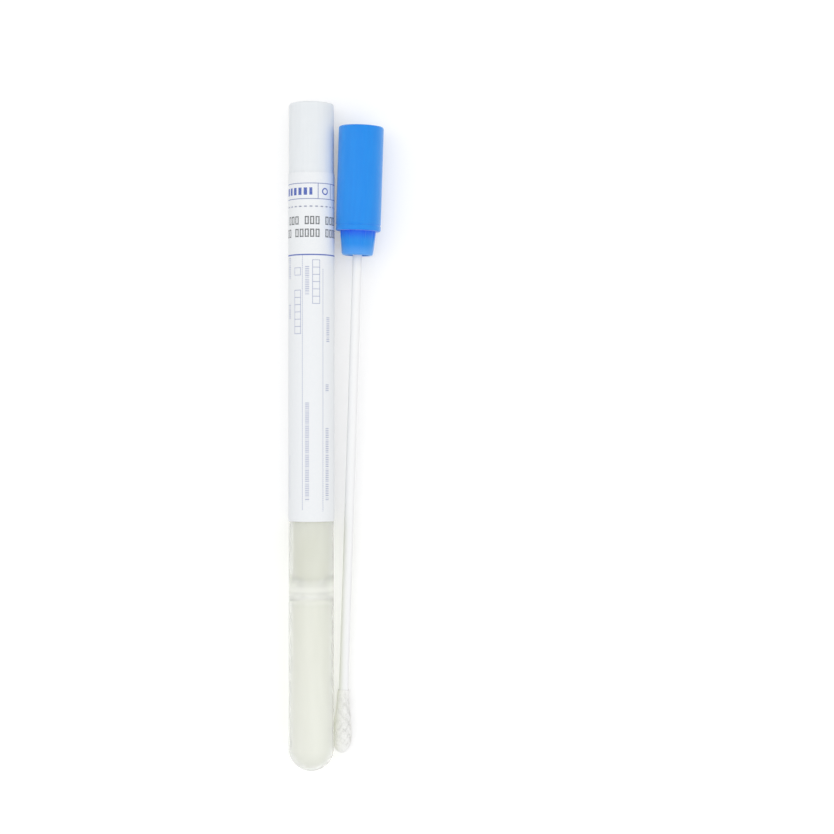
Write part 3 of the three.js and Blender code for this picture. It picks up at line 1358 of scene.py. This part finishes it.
@dataclass(frozen=True)
class Studio:
    """A plain white floor, soft light and the camera straight above."""

    light: float = 0.85
    floor_colour: float = 0.72
    floor_glow: float = 0.36
    floor_radius: float = 3.0
    lens: float = 80.0
    camera: tuple[float, float, float] = (0.0216, 0.00545, 0.501)
    lamps: dict[str, Lamp] = field(
        default_factory=lambda: {
            "key": Lamp((-0.35, 0.1, 0.75), (0.5, 1.1), 0.85),
            "fill": Lamp((0.45, -0.15, 0.6), (0.5, 1.1), 0.7),
        }
    )

    def seen(self, nodes: Nodes) -> Value:
        """1 for rays that show the background: from the camera, a gloss or through glass."""
        kinds = ("Camera", "Glossy", "Transmission")
        return any_of(nodes.path(f"Is {kind} Ray") for kind in kinds)

    def build(self) -> None:
        """Makes the studio."""
        scene = bpy.context.scene
        scene.view_settings.view_transform = "Standard"
        scene.cycles.max_bounces = 32
        scene.cycles.transmission_bounces = 24
        scene.cycles.glossy_bounces = 16
        scene.cycles.transparent_max_bounces = 24
        world = bpy.data.worlds.new("studio")
        scene.world = world
        nodes = Nodes(world)
        strength = self.light + (1 - self.light) * self.seen(nodes)
        sky = nodes.add("ShaderNodeBackground", None, {"Color": (1, 1, 1, 1), "Strength": strength})
        nodes.show(sky.outputs[0], "ShaderNodeOutputWorld")
        self.build_floor()
        for name, lamp in self.lamps.items():
            lamp.build(name, Vector((0, 0, 0)))
        data = bpy.data.cameras.new("camera")
        data.lens = self.lens
        data.sensor_width = 36
        data.clip_start = 0.01
        camera = in_scene("camera", data)
        camera.location = self.camera
        scene.camera = camera

    def build_floor(self) -> None:
        """Makes the floor, white wherever no shadow falls."""
        bm = bmesh.new()
        bmesh.ops.create_circle(bm, cap_ends=True, segments=64, radius=self.floor_radius)
        floor = in_scene("floor", as_mesh("floor", bm))
        material = bpy.data.materials.new("floor_paint")
        nodes = Nodes(material)
        shade = self.floor_colour
        matt = nodes.add("ShaderNodeBsdfDiffuse", None, {"Color": (shade, shade, shade, 1)})
        glow = nodes.add("ShaderNodeEmission", None, {"Strength": self.seen(nodes) * self.floor_glow})
        both = nodes.add("ShaderNodeAddShader", None, {0: matt.outputs[0], 1: glow.outputs[0]})
        nodes.show(both.outputs[0])
        floor.data.materials.append(material)


def main() -> None:
    """Builds the set, piece by piece."""
    logging.basicConfig(level=logging.INFO, format="%(message)s")
    cap = Cap()
    seat_gap = 0.05
    tube_place = Place.before_mount("stopper_end", cap.length + seat_gap)
    stopper_place = Place.before_mount("stopper_end", cap.length)
    swab_place = Place.before_mount("applicator_cap_end", cap.length)

    Studio().build()
    label = Label()
    Tube().build(tube_place, -label.low)
    label.build(tube_place)
    moulding = cap.mesh()
    cap.build(
        moulding,
        Piece("stopper_moulding", "stopper", Body.STOPPER, Slot.NATURAL_PLASTIC),
        stopper_place,
        MouldedPlastic(
            paint(233, 237, 240),
            paint(240, 243, 246),
            0.4,
            0.25,
            # Painted shadow under the stopper's shoulder, painted light at its nose.
            painted_plug_light=cap.painted_plug_light(paint(222, 228, 233), paint(240, 243, 246)),
        ),
    )
    cap.build(
        moulding,
        Piece("swab_cap", "applicator_cap", Body.TUBE, Slot.BLUE_PLASTIC),
        swab_place,
        MouldedPlastic(
            paint(0, 138, 236),
            paint(14, 150, 242),
            0.34,
            0.15,
            edge_light=1.0,
            edge_tint=paint(160, 208, 255),
            # Painted shadow under the cap's shoulder, painted light at its nose.
            painted_plug_light=cap.painted_plug_light(paint(0, 92, 236), paint(160, 208, 255)),
        ),
    )
    Swab().build(swab_place)


if __name__ == "__main__":
    main()
